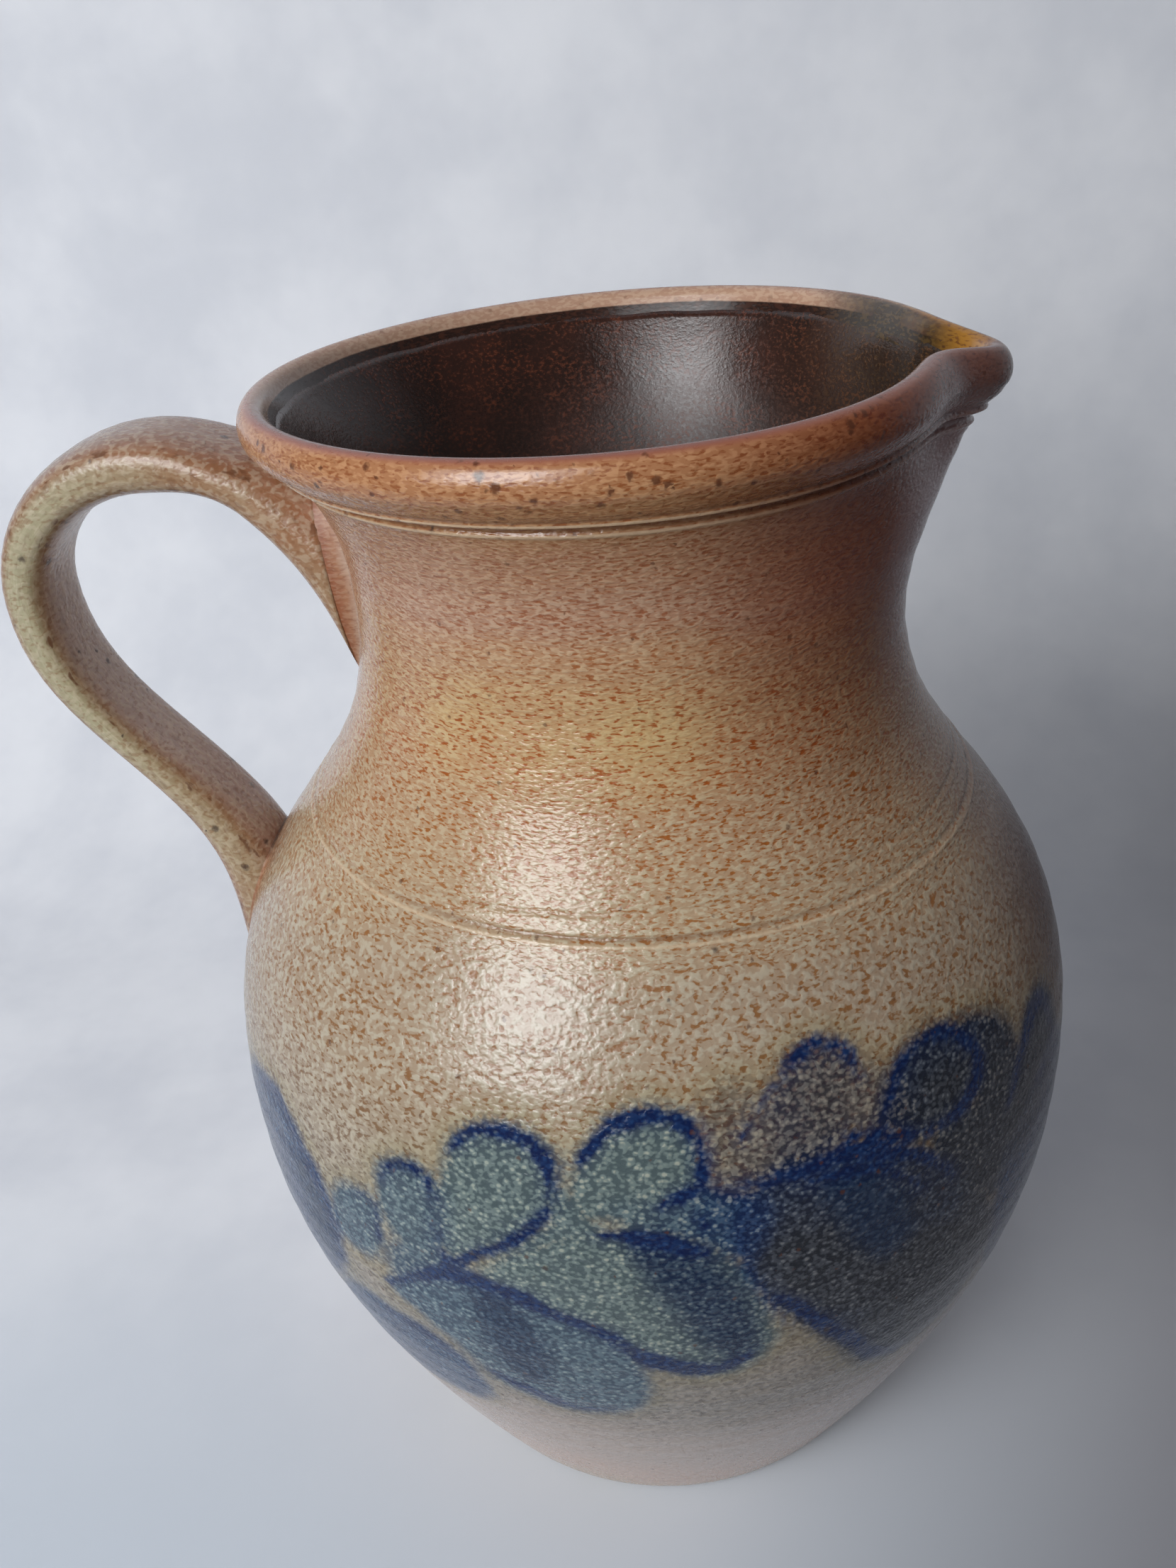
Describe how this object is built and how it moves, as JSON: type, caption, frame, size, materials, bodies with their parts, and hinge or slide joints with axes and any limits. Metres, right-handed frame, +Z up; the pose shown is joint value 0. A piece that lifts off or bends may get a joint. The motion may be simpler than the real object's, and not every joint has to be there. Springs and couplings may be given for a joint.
{
  "type": "stoneware pitcher",
  "caption": "Salt-glazed stoneware pitcher with a round belly, a beaded rim pulled into a spout, a loop strap handle, a dark glazed inside and blue brushed leaves, for pouring drinks.",
  "frame": {"origin": "centre of the flat base, on the axis that the body is turned about", "axes": "+Z up that axis towards the mouth, +X towards the spout, -X towards the handle"},
  "size_m": [0.201, 0.1688, 0.2313],
  "materials": {
    "salt_glazed_body": "orange-peel salt glaze over tan stoneware, satin to glossy, with blue brushed leaves",
    "salt_glazed_handle": "orange-peel salt glaze over tan stoneware, satin, with iron specks",
    "luting_slip": "salt-glazed slip, satin",
    "brown_liner": "dark brown slip glaze, glossy, with rust flecks"
  },
  "bodies": {
    "root": {"thrown_body": "salt_glazed_body", "pulled_handle": "salt_glazed_handle", "upper_slip_joint": "luting_slip", "lower_slip_joint": "luting_slip", "liner_glaze": "brown_liner"}
  },
  "joints": []
}
